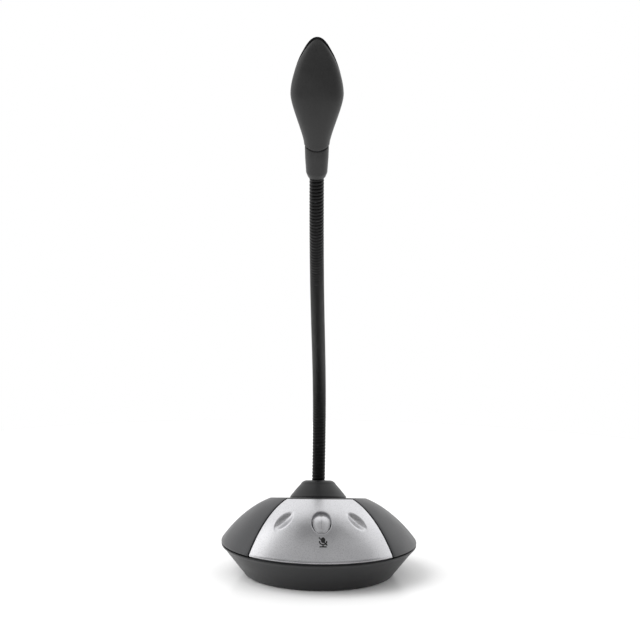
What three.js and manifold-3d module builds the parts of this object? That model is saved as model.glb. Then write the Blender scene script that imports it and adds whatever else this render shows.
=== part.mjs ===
// Desk microphone on a gooseneck: a round weighted base with a mute switch, a bendable wound
// neck and a leaf-shaped head. Millimetres, +Z up, the talker sits on the -Y side.
// The origin is the middle of the underside of the anti-slip pad.

import * as THREE from 'three';
import { mergeVertices } from 'three/addons/utils/BufferGeometryUtils.js';
import Module from 'manifold-3d';

const wasm = await Module();
wasm.setup();

// ---- driving dimensions ----
const gap = 0.3;                    // clearance between pieces that touch
const shortestEdge = 0.01;
const wall = 2.4;                   // base shell wall

const footRadius = 36.3;
const footHeight = 0.5;             // the foot rim ends this far above the desk
const padRadius = 33.2;
const padHeight = 1.0;
const rimRadius = 48;
const rimHeight = 16.0;             // top of the lower shell
const domeBottom = rimHeight + gap;

const plateauHeight = 38;           // centre of the flat top that carries the neck
const plateauRadius = 22.9;
const plateauTilt = 12;             // degrees, the top faces away from the talker
const plateauShift = -0.7;          // the flat top sits slightly to the talker's left of the rim
const panelHalfAngle = 50.9;        // degrees, half of the silver panel's sweep
const panelApex = 5.4;              // its sides would meet this far in front of the middle
const panelThickness = 2;

const switchHeight = 33.7;          // middle of the switch recess on the front slope
const switchForward = 36.4;
const switchSlope = 47;             // degrees, steepness of the front slope there
const switchTravel = 2.2;
const recessHalf = [4.85, 6.25];    // half width and half length of the oval recess
const recessDepth = 3;

const neckRadius = 3.2;
const neckBore = 1.7;
const leadRadius = 1.2;
const neckPieces = 10;
const neckYaw = 3.1;                // degrees, the neck leans slightly to the talker's left
const ballRadius = 4.4;             // rounded upper end of each neck piece
const socketRadius = ballRadius + gap;

const seamHeight = 14.4;            // the head's shells start this far above the sleeve's lower end
const headLength = 50.1;
const headWall = 1.4;

const caseScrewCircle = 29.5;
const ballastHoles = [-15, 15];
const boardScrewOffsets = [-10, 10];

// ---- materials ----
function material(color, roughness, metalness) {
  return new THREE.MeshStandardMaterial({ color, roughness, metalness });
}

const charcoalPlastic = material('#3a3b3d', 0.6, 0);
const greyPlastic = material('#5b5c61', 0.5, 0);
const silverPaint = material('#c4c5c9', 0.35, 0.5);
const blackPlastic = material('#1c1c1e', 0.35, 0);
const blackSteel = material('#242426', 0.4, 0.8);
const rubber = material('#161616', 0.85, 0);
const zincSteel = material('#b7bbbf', 0.35, 1);
const castIron = material('#4a4b4d', 0.7, 0.8);
const boardGreen = material('#1f5a38', 0.55, 0);
const brass = material('#b08d4a', 0.35, 1);
const aluminium = material('#c9cacc', 0.35, 1);
const cloth = material('#101010', 0.95, 0);
const leadSheath = material('#2b2b2d', 0.7, 0);

// ---- geometry helpers ----
const radians = THREE.MathUtils.degToRad;

// Turns a closed geometry into a solid: welds its vertices and drops collapsed triangles.
function solid(geometry) {
  const bare = geometry.clone();
  bare.deleteAttribute('normal');
  bare.deleteAttribute('uv');
  const welded = mergeVertices(bare, 1e-4);
  const source = welded.index.array;
  const triangles = [];
  for (let i = 0; i < source.length; i += 3) {
    const [a, b, c] = source.slice(i, i + 3);
    if (a !== b && b !== c && c !== a) {
      triangles.push(a, b, c);
    }
  }
  const positions = Float32Array.from(welded.attributes.position.array);
  let triVerts = Uint32Array.from(triangles);
  if (signedVolume(positions, triVerts) < 0) {
    triVerts = triVerts.reverse();
  }
  return new wasm.Manifold(new wasm.Mesh({ numProp: 3, vertProperties: positions, triVerts }));
}

function signedVolume(positions, triangles) {
  const corner = (i) => new THREE.Vector3().fromArray(positions, 3 * triangles[i]);
  let sum = 0;
  for (let i = 0; i < triangles.length; i += 3) {
    sum += corner(i).dot(corner(i + 1).cross(corner(i + 2)));
  }
  return sum / 6;
}

// Cuts leave edges far shorter than any feature, so they are closed up first.
function geometryOf(body) {
  const mesh = body.simplify(shortestEdge).getMesh();
  const geometry = new THREE.BufferGeometry();
  geometry.setAttribute('position', new THREE.BufferAttribute(mesh.vertProperties, 3));
  geometry.setIndex(new THREE.BufferAttribute(mesh.triVerts, 1));
  geometry.computeVertexNormals();
  return geometry;
}

function unite(first, ...others) {
  return others.reduce((whole, piece) => whole.add(piece), first);
}

function cut(first, ...tools) {
  return tools.reduce((whole, tool) => whole.subtract(tool), first);
}

// A solid turned about Z from [radius, height] points, listed around the section.
function turned(points, sides = 32) {
  const outline = points.map(([r, z]) => new THREE.Vector2(r, z));
  if (points[0][0] > 0 || points.at(-1)[0] > 0) {
    outline.push(outline[0].clone());
  }
  return solid(new THREE.LatheGeometry(outline, sides).rotateX(Math.PI / 2));
}

function drum(radius, bottom, top, sides = 24) {
  return turned([[0, bottom], [radius, bottom], [radius, top], [0, top]], sides);
}

function block(low, high) {
  const size = high.map((value, i) => value - low[i]);
  const middle = high.map((value, i) => (value + low[i]) / 2);
  return solid(new THREE.BoxGeometry(...size).translate(...middle));
}

// A vertical prism over an outline of [x, y] points.
function prism(points, bottom, top) {
  const shape = new THREE.Shape(points.map(([x, y]) => new THREE.Vector2(x, y)));
  const geometry = new THREE.ExtrudeGeometry(shape, { depth: top - bottom, bevelEnabled: false });
  return solid(geometry.translate(0, 0, bottom));
}

function ellipse(halfWidth, halfLength, sides = 28) {
  const points = [];
  for (let i = 0; i < sides; i += 1) {
    const angle = 2 * Math.PI * i / sides;
    points.push([halfWidth * Math.cos(angle), halfLength * Math.sin(angle)]);
  }
  return points;
}

// A skin over a stack of rings with the same number of points, closed by a flat fan at each end.
function lofted(rings) {
  const count = rings[0].length;
  const positions = rings.flat().flatMap((point) => point.toArray());
  const index = [];
  for (let ring = 0; ring + 1 < rings.length; ring += 1) {
    for (let i = 0; i < count; i += 1) {
      const a = ring * count + i;
      const b = ring * count + (i + 1) % count;
      index.push(a, b, b + count, a, b + count, a + count);
    }
  }
  const last = (rings.length - 1) * count;
  for (let i = 1; i + 1 < count; i += 1) {
    index.push(0, i + 1, i, last, last + i, last + i + 1);
  }
  const geometry = new THREE.BufferGeometry();
  geometry.setAttribute('position', new THREE.Float32BufferAttribute(positions, 3));
  geometry.setIndex(index);
  return solid(geometry);
}

function placed(body, matrix) {
  return body.transform(matrix.toArray());
}

// ---- frames ----
// Each frame is a matrix: local +Z is the frame's own axis and local -Y looks to the talker.
function frame(position, tilt) {
  const turn = new THREE.Matrix4().makeRotationX(radians(tilt));
  return turn.setPosition(...position);
}

const plateauFrame = frame([plateauShift, 0, plateauHeight], -plateauTilt);
const switchFrame = frame([0, -switchForward, switchHeight], switchSlope);
const neckPlace = new THREE.Matrix4().makeRotationZ(-radians(neckYaw)).setPosition(plateauShift, 0, 0);

const base = new THREE.Group();
const neck = new THREE.Group();
const head = new THREE.Group();

function addPiece(parent, name, body, finish) {
  const mesh = new THREE.Mesh(geometryOf(body), finish);
  mesh.name = name;
  parent.add(mesh);
}

// ---- base: upper shell and silver panel ----
const slopeStart = [47.5, 17.5];
const slopeEnd = [24.1, 37.7];
const slope = new THREE.CubicBezierCurve(
  new THREE.Vector2(...slopeStart), new THREE.Vector2(41, 26.9),
  new THREE.Vector2(32.6, 34.2), new THREE.Vector2(...slopeEnd),
);

// The dome is a stack of circles that tip back and shift more and more towards the flat top.
function domeRing(radius, height, sides = 40) {
  const share = THREE.MathUtils.clamp((height - domeBottom) / (plateauHeight - domeBottom), 0, 1.02);
  const tip = radians(plateauTilt * share);
  const points = [];
  for (let i = 0; i < sides; i += 1) {
    const angle = 2 * Math.PI * i / sides;
    const across = radius * Math.cos(angle) + plateauShift * share;
    const back = radius * Math.sin(angle);
    points.push(new THREE.Vector3(across, back * Math.cos(tip), height - back * Math.sin(tip)));
  }
  return points;
}

// The dome as a solid, shrunk inwards by an inset (or grown, when it is negative).
function dome(inset, bottom = domeBottom) {
  const steps = 6;
  const rings = [domeRing(rimRadius - inset, bottom)];
  for (let i = 0; i <= steps; i += 1) {
    const point = slope.getPoint(i / steps);
    const along = slope.getTangent(i / steps);
    rings.push(domeRing(point.x - along.y * inset, point.y + along.x * inset));
  }
  rings.push(domeRing(plateauRadius - inset / 2, plateauHeight - inset));
  return lofted(rings);
}

// A vertical wedge between the planes of the panel's sides, widening towards the talker.
function wedge(halfAngle) {
  const reach = 80;
  const side = (reach - panelApex) * Math.tan(radians(halfAngle));
  return prism([[0, -panelApex], [-side, -reach], [side, -reach]], 0, 60);
}

function plateauDrum(radius, bottom, top) {
  return placed(drum(radius, bottom, top, 48), plateauFrame);
}

function switchPrism(points, bottom, top) {
  return placed(prism(points, bottom, top), switchFrame);
}

function switchBlock(low, high) {
  return placed(block(low, high), switchFrame);
}

// Corner posts stand between the panel's sides and the rear.
function caseScrewPlaces() {
  return [45, 135, 225, 315].map((angle) => {
    const turn = radians(angle);
    return [caseScrewCircle * Math.cos(turn), caseScrewCircle * Math.sin(turn)];
  });
}

const cupHalf = recessHalf.map((half) => half + 1.3);
const cupBottom = -recessDepth - 1.2;
const postBottom = 7.1;
const boardTop = -11.5;
const postClearance = 2.6;
const insideFloor = 3.5;

function makeUpperShell() {
  const pocket = cut(dome(-1), dome(panelThickness + gap, 0)).intersect(wedge(panelHalfAngle + 1));
  const sideCavity = cut(dome(wall, 0), wedge(panelHalfAngle + 3.2));
  let shell = cut(
    dome(0),
    cut(pocket, plateauDrum(plateauRadius + 0.7, -6, 10)),
    dome(panelThickness + gap + 2, 0),
    sideCavity,
    plateauDrum(17, -12, -wall),
  );
  for (const [x, y] of caseScrewPlaces()) {
    const post = drum(2.8, postBottom, 40, 16).translate([x, y, 0]);
    const low = post.intersect(block([-60, -60, 0], [60, 60, 20]));
    const roof = y < 0 ? postClearance : wall / 2;
    shell = unite(shell, low, post.intersect(dome(roof)));
    shell = cut(shell, drum(1.1, postBottom - 1, postBottom + 10, 12).translate([x, y, 0]));
  }
  for (const x of boardScrewOffsets) {
    const post = placed(drum(2.2, boardTop + gap, 0, 14).translate([x, 0, 0]), switchFrame);
    const bore = placed(drum(0.9, boardTop, -5, 10).translate([x, 0, 0]), switchFrame);
    shell = cut(unite(shell, post.intersect(dome(postClearance))), bore);
  }
  const cupHole = switchPrism(ellipse(cupHalf[0] + 0.6, cupHalf[1] + 0.6), -9, 6);
  return cut(shell, cupHole, plateauDrum(3.4, -8, 8));
}

const stemSlot = { halfWidth: 1.4, low: -3.5, high: 3.2 };
const dimplePlace = { azimuth: 28, forward: 35.9, height: 33.2, lean: 33 };

function dimple(side) {
  const scoop = new THREE.SphereGeometry(1, 16, 10).scale(2.8, 5.7, 1.3);
  const place = new THREE.Matrix4().makeRotationX(radians(switchSlope));
  const swing = new THREE.Matrix4().makeRotationZ(radians(dimplePlace.azimuth * side));
  const lean = new THREE.Matrix4().makeRotationZ(radians(dimplePlace.lean * side));
  place.multiply(lean);
  place.setPosition(0, -dimplePlace.forward, dimplePlace.height);
  return placed(solid(scoop), swing.multiply(place));
}

function makeFrontPanel() {
  const skin = cut(dome(0), dome(panelThickness, 0)).intersect(wedge(panelHalfAngle));
  const cup = switchPrism(ellipse(...cupHalf), cupBottom, 4).intersect(dome(0));
  const { halfWidth, low, high } = stemSlot;
  const slot = [[-halfWidth, low], [halfWidth, low], [halfWidth, high], [-halfWidth, high]];
  return cut(
    unite(cut(skin, plateauDrum(plateauRadius + 1.1, -6, 10)), cup),
    switchPrism(ellipse(...recessHalf), -recessDepth, 8),
    switchPrism(slot, -9, 0),
    dimple(-1),
    dimple(1),
  );
}

addPiece(base, 'upper_shell', makeUpperShell(), greyPlastic);
addPiece(base, 'front_panel', makeFrontPanel(), silverPaint);

// ---- base: lower shell, pad, ballast and screws ----
const inlet = { height: 9.4, inside: 36, outside: 46.5, radius: 6.2, bore: 3.3, flange: 1.6 };

function alongY(body) {
  return body.rotate([-90, 0, 0]);
}

function makeLowerShell() {
  let shell = turned([
    [0, padHeight + gap], [padRadius + 0.4, padHeight + gap], [padRadius + 0.4, footHeight],
    [footRadius, footHeight], [46.6, 13.7], [47.7, 14.9], [rimRadius, 15.5], [rimRadius, rimHeight],
    [rimRadius - wall, rimHeight], [44.6, 14.3], [36.2, insideFloor], [0, insideFloor],
  ], 40);
  for (const [x, y] of caseScrewPlaces()) {
    const pillar = drum(3.5, insideFloor - 1, postBottom - gap, 16).translate([x, y, 0]);
    const sink = drum(2.8, 0, 4.2, 16).translate([x, y, 0]);
    const hole = drum(1.3, 4, 9, 12).translate([x, y, 0]);
    shell = cut(unite(shell, pillar), sink, hole);
  }
  for (const x of ballastHoles) {
    const boss = drum(2.6, insideFloor - 1, 11.4, 16).translate([x, 4, 0]);
    shell = cut(unite(shell, boss), drum(1.0, 4.5, 12, 10).translate([x, 4, 0]));
  }
  const sleeve = alongY(drum(inlet.radius, inlet.inside, inlet.outside, 20));
  const bore = alongY(drum(inlet.bore, 30, 50, 16));
  return cut(unite(shell, sleeve.translate([0, 0, inlet.height])), bore.translate([0, 0, inlet.height]));
}

function makeGland() {
  const flange = 4.4;
  const body = inlet.bore - gap;
  const inner = inlet.inside - gap;
  const outer = inlet.outside + gap;
  return alongY(turned([
    [1.8, inner - inlet.flange], [flange, inner - inlet.flange], [flange, inner], [body, inner],
    [body, outer], [flange, outer], [flange, outer + 0.9], [3.4, outer + inlet.flange],
    [1.8, outer + inlet.flange],
  ], 20)).translate([0, 0, inlet.height]);
}

const ballast = { radius: 24.5, bottom: insideFloor + gap, top: 11.8 };

function makeBallast() {
  const plate = drum(ballast.radius, ballast.bottom, ballast.top, 40);
  return cut(plate, ...ballastHoles.map((x) => drum(3.0, 0, 20, 16).translate([x, 4, 0])));
}

// A pan-head screw standing on its head: the head spans headBottom..headTop, the shank runs to tip.
function screw(headRadius, shankRadius, headBottom, headTop, tip) {
  const shankEnd = tip > headTop ? headTop : headBottom;
  const body = unite(
    drum(headRadius, headBottom, headTop, 12),
    drum(shankRadius, Math.min(shankEnd, tip), Math.max(shankEnd, tip), 8),
  );
  const drive = tip > headTop ? [headBottom - 1, headBottom + 0.7] : [headTop - 0.7, headTop + 1];
  const slot = (a, b) => block([-a, -b, drive[0]], [a, b, drive[1]]);
  return cut(body, slot(headRadius * 0.6, 0.3), slot(0.3, headRadius * 0.6));
}

addPiece(base, 'lower_shell', makeLowerShell(), charcoalPlastic);
addPiece(base, 'anti_slip_pad', drum(padRadius, 0, padHeight, 48), rubber);
addPiece(base, 'cable_gland', makeGland(), rubber);
addPiece(base, 'ballast_plate', makeBallast(), castIron);

caseScrewPlaces().forEach(([x, y], i) => {
  const body = screw(2.5, 0.8, 2.0, 3.9, 15).translate([x, y, 0]);
  addPiece(base, `case_screw_${i + 1}`, body, zincSteel);
});
ballastHoles.forEach((x, i) => {
  const body = screw(3.9, 0.7, ballast.top + gap, 13.9, 6).translate([x, 4, 0]);
  addPiece(base, `ballast_screw_${i + 1}`, body, zincSteel);
});

// ---- base: mute switch and its board ----
const boardThickness = 1.6;
const boardBottom = boardTop - boardThickness;
const knobLength = [0.35 - recessHalf[1], recessHalf[1] - 0.65 - switchTravel];   // at rest
const knobHalfWidth = 3.8;
const knobWidest = -0.2;
const knobMiddle = (knobLength[0] + knobLength[1]) / 2;
const knobBottom = -recessDepth + 0.4;

// The knob's outline: round above, drawn to a blunt point below.
function knobOutline(inset) {
  const half = knobHalfWidth - inset;
  const point = knobLength[0] + inset;
  const handle = knobWidest - 4;
  const outline = new THREE.Shape();
  outline.moveTo(0, point);
  outline.bezierCurveTo(half * 0.5, point, half, handle, half, knobWidest);
  outline.absellipse(0, knobWidest, half, knobLength[1] - inset - knobWidest, 0, Math.PI);
  outline.bezierCurveTo(-half, handle, -half * 0.5, point, 0, point);
  return outline.getPoints(7).slice(0, -1);
}

function makeKnob() {
  const levels = [[0.4, knobBottom], [0, knobBottom + 0.5], [0, -0.3], [0.7, 0.5], [2, 0.95]];
  const level = ([inset, z]) => knobOutline(inset).map((p) => new THREE.Vector3(p.x, p.y, z));
  const cap = placed(lofted(levels.map(level)), switchFrame);
  const stem = switchBlock([-1, knobMiddle - 1.8, -6], [1, knobMiddle + 1.8, knobBottom + 0.6]);
  return unite(cap, stem);
}

function makeBoard() {
  const plate = switchBlock([-13, -9, boardBottom], [13, 9, boardTop]);
  const hole = (x) => placed(drum(1.2, -20, 0, 12).translate([x, 0, 0]), switchFrame);
  const holes = boardScrewOffsets.map(hole);
  return cut(plate, ...holes);
}

// The switch body is a tray whose open top lets the slider's foot run.
function makeSwitchHousing() {
  const bottom = boardTop + gap;
  const tray = switchBlock([-2.9, -7.5, bottom], [2.9, 7.5, -7]);
  return cut(tray, switchBlock([-1.6, -5.9, bottom + 1.2], [1.6, 5.9, 0]));
}

function makeSlider() {
  const foot = switchBlock([-1.3, knobMiddle - 2.5, -9.5], [1.3, knobMiddle + 2.5, -8]);
  return unite(foot, switchBlock([-0.7, knobMiddle - 1, -8.5], [0.7, knobMiddle + 1, -6.3]));
}

addPiece(base, 'circuit_board', makeBoard(), boardGreen);
addPiece(base, 'switch_housing', makeSwitchHousing(), zincSteel);
addPiece(base, 'switch_slider', makeSlider(), blackPlastic);
addPiece(base, 'switch_knob', makeKnob(), silverPaint);

const connectorBlock = switchBlock([3, -6.2, -17.9], [9, -2.2, boardBottom - gap]);
addPiece(base, 'board_connector', connectorBlock, aluminium);
boardScrewOffsets.forEach((x, i) => {
  const body = screw(2, 0.6, boardBottom - gap - 1.5, boardBottom - gap, -6).translate([x, 0, 0]);
  addPiece(base, `board_screw_${i + 1}`, placed(body, switchFrame), zincSteel);
});

// ---- neck mounting on the plateau ----
const collarTop = 8.6;
const neckRise = 7.4;               // the neck's free length starts this far above the flat top

function makeCollar() {
  return placed(turned([
    [6.3, gap], [13.8, gap], [13.7, 0.8], [9.6, 5.7], [8.6, 6.8], [7.6, 8.0], [6.6, collarTop],
    [neckRadius + 0.4, collarTop], [neckRadius + 0.4, 6.0], [6.3, 3.6],
  ], 32), plateauFrame);
}

function makeNeckFerrule() {
  return placed(turned([
    [neckBore, -13], [3, -13], [3, gap], [5.4, gap], [5.4, 1.6], [4.5, 1.9], [4.5, 4.6],
    [neckRadius + gap, 4.6], [neckRadius + gap, 1.9], [neckBore, 1.9],
  ], 24), plateauFrame);
}

function makeNeckNut() {
  const top = -wall - 0.8 - 3 * gap;
  const hex = drum(6.2, top - 3, top, 6);
  return placed(cut(hex, drum(3.3, -20, 0, 20)), plateauFrame);
}

function makeNeckWasher() {
  const top = -wall - gap;
  return placed(cut(drum(6.6, top - 0.8, top, 24), drum(3.4, -20, 0, 20)), plateauFrame);
}

addPiece(base, 'neck_collar', makeCollar(), charcoalPlastic);
addPiece(base, 'neck_lower_ferrule', makeNeckFerrule(), brass);
addPiece(base, 'neck_washer', makeNeckWasher(), zincSteel);
addPiece(base, 'neck_nut', makeNeckNut(), brass);

// ---- neck: the route, bent forward out of the collar and level again at the head ----
function leaning(degrees) {
  return new THREE.Vector3(0, -Math.sin(radians(degrees)), Math.cos(radians(degrees)));
}

const neckStart = new THREE.Vector3(0, 1.6, 45.3);
const neckMiddle = new THREE.Vector3(0, -50, 130);
const neckEnd = new THREE.Vector3(0, -107.6, 204);
const startLean = -plateauTilt;
const middleLean = 51.2;
const endLean = 19.7;

const route = new THREE.CurvePath();
route.add(new THREE.CubicBezierCurve3(
  neckStart, neckStart.clone().addScaledVector(leaning(startLean), 42.8),
  neckMiddle.clone().addScaledVector(leaning(middleLean), -38.7), neckMiddle,
));
route.add(new THREE.CubicBezierCurve3(
  neckMiddle, neckMiddle.clone().addScaledVector(leaning(middleLean), 34.4),
  neckEnd.clone().addScaledVector(leaning(endLean), -36.6), neckEnd,
));
const neckLength = route.getLength();
const pieceLength = neckLength / neckPieces;

// A point at a distance along the neck. Beyond either end the neck runs on straight.
function neckPoint(distance) {
  if (distance <= 0) {
    return neckStart.clone().addScaledVector(leaning(startLean), distance);
  }
  if (distance >= neckLength) {
    return neckEnd.clone().addScaledVector(leaning(endLean), distance - neckLength);
  }
  return route.getPointAt(distance / neckLength);
}

function neckTangent(distance) {
  return neckPoint(distance + 0.5).sub(neckPoint(distance - 0.5)).normalize();
}

class Stretch extends THREE.Curve {
  constructor(from, to) {
    super();
    this.from = from;
    this.to = to;
  }

  getPoint(share) {
    return neckPoint(THREE.MathUtils.lerp(this.from, this.to, share));
  }
}

function roundPoints(radius, sides) {
  return ellipse(radius, radius, sides).map(([x, y]) => new THREE.Vector2(x, y));
}

function tube(outer, inner, from, to, sides) {
  const section = new THREE.Shape(roundPoints(outer, sides));
  if (inner > 0) {
    section.holes.push(new THREE.Path(roundPoints(inner, sides / 2)));
  }
  const steps = Math.ceil((to - from) / 6);
  return solid(new THREE.ExtrudeGeometry(section, { steps, extrudePath: new Stretch(from, to) }));
}

// A frame on the neck at a distance, with +Z along it.
function neckFrame(distance) {
  const tangent = neckTangent(distance);
  return frame(neckPoint(distance).toArray(), THREE.MathUtils.radToDeg(Math.atan2(-tangent.y, tangent.z)));
}

function ball(radius, distance) {
  const sphere = new THREE.SphereGeometry(radius, 12, 12).rotateX(Math.PI / 2);
  return placed(solid(sphere), neckFrame(distance));
}

const jointPlaces = [];
for (let i = 1; i < neckPieces; i += 1) {
  jointPlaces.push(i * pieceLength);
}
const neckFoot = -5.2;
const neckTop = neckLength + 8.5;

function makeNeckPiece(i) {
  const from = i === 0 ? neckFoot : jointPlaces[i - 1];
  const last = i === neckPieces - 1;
  const to = last ? neckTop : jointPlaces[i] + ballRadius + 0.6;
  let piece = tube(neckRadius, neckBore, from, to, 12);
  if (i > 0) {
    piece = cut(piece, ball(socketRadius, from));
  }
  if (!last) {
    const collar = placed(drum(8, 2.5, 8, 8), neckFrame(jointPlaces[i]));
    piece = cut(piece, cut(collar, ball(ballRadius, jointPlaces[i])));
  }
  return piece;
}

function makeLeadPiece(i) {
  const from = i === 0 ? neckFoot - 1 : jointPlaces[i - 1] + socketRadius + 0.1;
  const to = i === neckPieces - 1 ? neckLength + 36.5 : jointPlaces[i] + ballRadius - 0.3;
  return tube(leadRadius, 0, from, to, 6);
}

for (let i = 0; i < neckPieces; i += 1) {
  const number = String(i + 1).padStart(2, '0');
  addPiece(neck, `neck_${number}`, makeNeckPiece(i), blackSteel);
  addPiece(neck, `lead_${number}`, makeLeadPiece(i), leadSheath);
}

// The lead leaves the neck's lower end inside the base and runs to the board's connector.
function makeBaseLead() {
  const at = (x, y, z, matrix) => new THREE.Vector3(x, y, z).applyMatrix4(matrix);
  const path = new THREE.CatmullRomCurve3([
    at(0, 0, neckRise + neckFoot - 1.3, plateauFrame), at(0, 0, -7, plateauFrame),
    at(0, 0, -14, plateauFrame), new THREE.Vector3(2, -7, 17.5), new THREE.Vector3(5, -16, 14.2),
    at(6, -4.2, -22.5, switchFrame), at(6, -4.2, -18.2, switchFrame),
  ]);
  const section = new THREE.Shape(roundPoints(leadRadius, 8));
  return solid(new THREE.ExtrudeGeometry(section, { steps: 20, extrudePath: path }));
}

addPiece(base, 'base_lead', makeBaseLead(), leadSheath);

// ---- head: sleeve, ferrule, two shells, cloth, boot and capsule ----
const headFrame = frame(neckEnd.toArray(), endLean);

function makeSleeve() {
  return turned([
    [3.55, 0], [3.85, 0.2], [4.65, 2.2], [5.25, seamHeight - gap], [4.25, seamHeight - gap],
    [4.25, 3.0], [3.55, 2.6],
  ], 32);
}

function makeHeadFerrule() {
  return turned([
    [neckRadius + 0.25, 3.3], [3.9, 3.3], [3.9, 11.5], [3.4, 12], [3.4, 18],
    [neckBore, 18], [neckBore, 8.8], [neckRadius + 0.25, 8.8],
  ], 24);
}

// Half width and half thickness of the head against its height above the seam.
const headSide = new THREE.CurvePath();
const headPoint = (r, z) => new THREE.Vector2(r, z);
headSide.add(new THREE.CubicBezierCurve(
  headPoint(5.5, 0), headPoint(5.7, 6.5), headPoint(11.3, 18), headPoint(11.5, 24.4),
));
headSide.add(new THREE.CubicBezierCurve(
  headPoint(11.5, 24.4), headPoint(11.5, 31), headPoint(8.6, 39.2), headPoint(7.1, 42.1),
));
headSide.add(new THREE.CubicBezierCurve(
  headPoint(7.1, 42.1), headPoint(4.9, 46.4), headPoint(2.9, headLength), headPoint(0, headLength),
));

function thicknessAt(height) {
  const share = height / headLength;
  const swell = 5.4 + 1.6 * Math.sin(Math.PI * Math.min(share / 0.9, 1));
  return swell * Math.sqrt(Math.max(1 - share ** 5, 0));
}

function headSolid(inset, from, to) {
  const steps = 12;
  const rings = [];
  for (let i = 0; i <= steps; i += 1) {
    const point = headSide.getPoint(i / steps);
    const height = THREE.MathUtils.clamp(point.y, from, to);
    if (height === point.y && point.x - inset > 1.2) {
      rings.push(headRing(point.x - inset, thicknessAt(height) - inset, height));
    }
  }
  const top = rings.at(-1)[0].z;
  rings.push(headRing(0.5, 0.4, Math.min(top + 1.3, to)));
  return lofted(rings);
}

function headRing(halfWidth, halfThickness, height, sides = 20) {
  return ellipse(halfWidth, halfThickness, sides)
    .map(([x, y]) => new THREE.Vector3(x, y, height + seamHeight));
}

const shellSplit = 1.2;             // the shells part just behind the widest line
const cavityBottom = 7;
const slotHeights = [23.4, 26.2, 29, 31.8, 34.6];

function makeHeadShells() {
  const skin = cut(
    headSolid(0, 0, headLength),
    headSolid(headWall, cavityBottom, headLength - headWall),
    drum(3.7, 0, seamHeight + cavityBottom + 3, 24),
  );
  const front = skin.intersect(block([-20, -20, 0], [20, shellSplit, 80]));
  const slots = slotHeights.map((height) => {
    const middle = seamHeight + height;
    return block([-4.5, 0, middle - 0.6], [4.5, 20, middle + 0.6]);
  });
  const back = cut(skin.intersect(block([-20, shellSplit + gap, 0], [20, 20, 80])), ...slots);
  return { front, back };
}

const capsule = { height: seamHeight + 28.9, radius: 4.85, front: -2.4, back: 2.6 };

// Pieces turned about Y, centred on the capsule.
function aboutCapsule(body) {
  return alongY(body).translate([0, 0, capsule.height]);
}

function makeBoot() {
  const inner = capsule.radius + gap;
  const floor = capsule.front - gap;
  return aboutCapsule(turned([
    [1.6, floor - 1], [inner + 1.2, floor - 1], [inner + 1.2, 2.2],
    [inner, 2.2], [inner, floor], [1.6, floor],
  ], 24));
}

function makeAcousticCloth() {
  const sheet = prism(ellipse(5.4, 7.4, 20), 3.1, 3.5);
  return alongY(sheet).translate([0, 0, capsule.height]);
}

const { front, back } = makeHeadShells();
addPiece(head, 'head_sleeve', makeSleeve(), charcoalPlastic);
addPiece(head, 'neck_upper_ferrule', makeHeadFerrule(), brass);
addPiece(head, 'head_front_shell', front, charcoalPlastic);
addPiece(head, 'head_back_shell', back, blackPlastic);
addPiece(head, 'acoustic_cloth', makeAcousticCloth(), cloth);
addPiece(head, 'capsule_boot', makeBoot(), rubber);

const can = drum(capsule.radius, capsule.front, capsule.back, 24);
addPiece(head, 'microphone_capsule', aboutCapsule(can), aluminium);

head.applyMatrix4(headFrame);
neck.add(head);
neck.applyMatrix4(neckPlace);

const microphone = new THREE.Group();
microphone.add(base, neck);

export default microphone;
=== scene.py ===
# Desk microphone on a gooseneck: smooth shells, wound neck, finishes, studio.
# Sizes in the dictionaries are millimetres and degrees unless a note says otherwise.
import math

import bmesh
import bpy
from mathutils import Matrix, Vector


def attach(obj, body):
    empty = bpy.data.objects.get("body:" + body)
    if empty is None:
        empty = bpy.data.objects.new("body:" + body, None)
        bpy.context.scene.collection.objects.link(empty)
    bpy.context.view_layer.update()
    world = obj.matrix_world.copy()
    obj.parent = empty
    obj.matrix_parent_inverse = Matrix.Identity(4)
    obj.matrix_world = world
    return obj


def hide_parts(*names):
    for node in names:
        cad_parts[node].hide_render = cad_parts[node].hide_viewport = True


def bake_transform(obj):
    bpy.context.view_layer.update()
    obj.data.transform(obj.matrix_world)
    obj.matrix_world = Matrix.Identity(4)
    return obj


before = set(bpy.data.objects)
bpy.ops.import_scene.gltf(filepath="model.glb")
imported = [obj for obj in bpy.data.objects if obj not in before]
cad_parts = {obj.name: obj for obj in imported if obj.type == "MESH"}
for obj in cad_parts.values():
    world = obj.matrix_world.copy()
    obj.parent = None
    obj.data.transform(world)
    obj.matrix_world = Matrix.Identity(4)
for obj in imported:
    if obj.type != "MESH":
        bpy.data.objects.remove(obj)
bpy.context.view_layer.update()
print("frame loaded:", len(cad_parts), "nodes")

mm = 0.001


def turnX(degrees):
    return Matrix.Rotation(math.radians(degrees), 4, "X")


def turnZ(degrees):
    return Matrix.Rotation(math.radians(degrees), 4, "Z")


def bezier(a, b, c, d, t):
    u = 1 - t
    return [
        u**3 * p + 3 * u * u * t * q + 3 * u * t * t * r + t**3 * s
        for p, q, r, s in zip(a, b, c, d)
    ]


def spread(start, end, steps):
    return [start + (end - start) * i / steps for i in range(steps + 1)]


# Finishes: grain is the size of the fine grain and bump its height

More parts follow.
